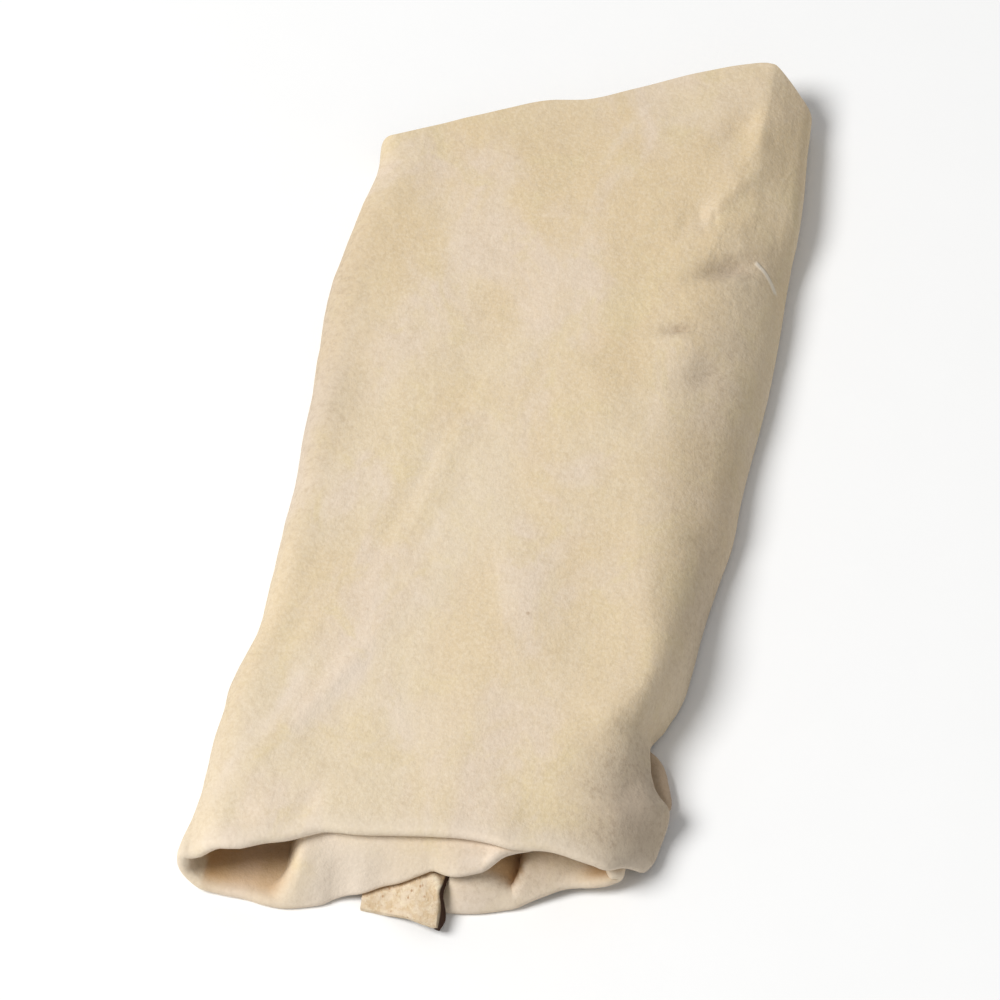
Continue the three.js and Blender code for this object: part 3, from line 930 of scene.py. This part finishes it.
def scratch(n, colour, height):
    """A thin healed scratch, part of a circle through three points of the plan."""
    (ax, ay), (bx, by), (cx, cy) = SCRATCH
    d = 2 * (ax * (by - cy) + bx * (cy - ay) + cx * (ay - by))
    a, b, c = (x**2 + y**2 for x, y in SCRATCH)
    ux = (a * (by - cy) + b * (cy - ay) + c * (ay - by)) / d
    uy = (a * (cx - bx) + b * (ax - cx) + c * (bx - ax)) / d
    radius = math.hypot(ax - ux, ay - uy) * MM
    reach = math.hypot(ax - bx, ay - by) * MM
    width = SCRATCH_WIDTH * MM
    flat = n.put("ShaderNodeVectorMath", {0: n.place(), 1: (1, 1, 0)}, operation="MULTIPLY")[0]
    off, away = (n.put("ShaderNodeVectorMath", {0: flat, 1: (px * MM, py * MM, 0)},
                       operation="DISTANCE")["Value"] for px, py in ((ux, uy), (bx, by)))
    off = n.work("ABSOLUTE", n.work("SUBTRACT", off, radius), 0.0)
    line = n.times(n.band(off, width, 0.3 * width), n.band(away, reach, 0.8 * reach))
    colour = n.blend(n.times(line, SCRATCH_STRENGTH), colour, SCRATCHED)
    return colour, n.plus(height, n.times(line, 0.8))


def flesh_side():
    """The coarse side of the skin: golden and fibrous, with brown specks, a painted highlight on the crease,
    painted shadow under the rim above and painted shade on the turned-down edge.
    """
    n = Nodes("flesh_side_leather", 0.92, 0.15)
    place = n.place()
    colour = n.blend(n.band(n.noise(place, 260, 4, 0.65, 0.6), 0.38, 0.62), FLESH_LOW, FLESH_HIGH)
    colour = n.blend(n.band(n.noise(place, 800, 3, 0.6), 0.45, 0.7, 0.0, 0.6), colour, FIBRE)
    strand = n.band(n.noise(n.stretch(place, (1, 0.4, 1), 0.35), 900, 3, 0.6, 1.2), 0.54, 0.72)
    colour = n.blend(n.times(strand, 0.35), colour, STRAND)
    long = n.stretch(place, (1, 0.7, 1))
    cells = n.put("ShaderNodeTexVoronoi", {"Vector": long, "Scale": 420.0})["Distance"]
    speck = n.times(n.band(cells, 0.2, 0.08), n.band(n.noise(place, 130, 2), 0.44, 0.54))
    colour = n.blend(n.times(speck, 0.65), colour, FLESH_SPECK)
    # Painted highlight on the crease, painted shadow under the rim above and painted shade on the turned-down
    # edge
    colour = n.blend(n.times(n.mark("crease"), 0.6), colour, CREASE_HIGHLIGHT)
    colour = n.blend(n.times(n.mark("painted_rim_shadow"), 0.55), colour, PAINTED_RIM_SHADOW)
    colour = n.blend(n.times(n.mark("painted_edge_shade"), 0.97), colour, PAINTED_EDGE_SHADE)
    height = n.work("SUBTRACT", n.noise(place, 420, 4, 0.7), n.times(strand, 0.4))
    return n.finish(colour, height, *NAP_BUMP)


# The cover has the scratch, and the roll is a little less golden
outer, outer_colour, outer_height = suede("suede_outer", cream=(0.745, 0.62, 0.44), warm=(0.725, 0.57, 0.36))
outer_colour, outer_height = scratch(outer, outer_colour, outer_height)
cover.data.materials.append(outer.finish(outer_colour, outer_height, *NAP_BUMP))
inner, inner_colour, inner_height = suede("suede_inner", cream=(0.745, 0.615, 0.44), warm=(0.72, 0.57, 0.385))
roll.data.materials.append(inner.finish(inner_colour, inner_height, *NAP_BUMP))
tab.data.materials.append(flesh_side())

# Bodies
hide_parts("top_panel", "right_flank", "cover_lip", "left_turn")
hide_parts("lower_panel", "inner_panel", "right_loop", "back_panel", "side_hem")
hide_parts("corner_tab")
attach(roll, "inner_roll")
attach(tab, "inner_roll")
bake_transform(cover)

# Floor, with half its side in metres
FLOOR_HALF = 4
floor_corners = [(x * FLOOR_HALF, y * FLOOR_HALF, 0) for x, y in ((-1, -1), (1, -1), (1, 1), (-1, 1))]
floor_mesh = bpy.data.meshes.new("floor")
floor_mesh.from_pydata(floor_corners, [], [(0, 1, 2, 3)])
floor = bpy.data.objects.new("floor", floor_mesh)
bpy.context.collection.objects.link(floor)
paper = Nodes("pale_floor", 0.9, 0.2)
paper_place = paper.put("ShaderNodeNewGeometry", {})["Position"]
paper_colour = paper.blend(paper.noise(paper_place, 40, 3), FLOOR_LOW, FLOOR_HIGH)
floor_mesh.materials.append(paper.finish(paper_colour, paper.noise(paper_place, 500, 2), 0.05, 0.0002))

# Camera
AZIMUTH = math.radians(10.3)
ELEVATION = math.radians(55)
DISTANCE = 1.674
FOCAL_PIXELS = 5328
IMAGE_PIXELS = 1000
TARGET = Vector((-4.1, -15, 11.2)) * MM
camera_data = bpy.data.cameras.new("camera")
camera_data.sensor_width = 36
camera_data.lens = FOCAL_PIXELS / IMAGE_PIXELS * camera_data.sensor_width
camera = bpy.data.objects.new("camera", camera_data)
bpy.context.collection.objects.link(camera)
forward = Vector((-math.sin(AZIMUTH) * math.cos(ELEVATION), math.cos(AZIMUTH) * math.cos(ELEVATION),
                  -math.sin(ELEVATION)))
camera.location = TARGET - forward * DISTANCE
camera.rotation_euler = forward.to_track_quat("-Z", "Y").to_euler()
bpy.context.scene.camera = camera

# Light
WORLD_STRENGTH = 0.36
world = bpy.data.worlds.new("studio")
bpy.context.scene.world = world
world.use_nodes = True
world.node_tree.nodes["Background"].inputs["Color"].default_value = (1, 1, 1, 1)
world.node_tree.nodes["Background"].inputs["Strength"].default_value = WORLD_STRENGTH

KEY_PLACE = (-2.1, -1.0, 2.8)
key_light = bpy.data.lights.new("key", "AREA")
key_light.shape = "DISK"
key_light.size = 1.7
key_light.energy = 119
key = bpy.data.objects.new("key", key_light)
key.location = KEY_PLACE
key.rotation_euler = (-Vector(KEY_PLACE)).to_track_quat("-Z", "Y").to_euler()
bpy.context.collection.objects.link(key)
bpy.context.scene.view_settings.view_transform = "Standard"
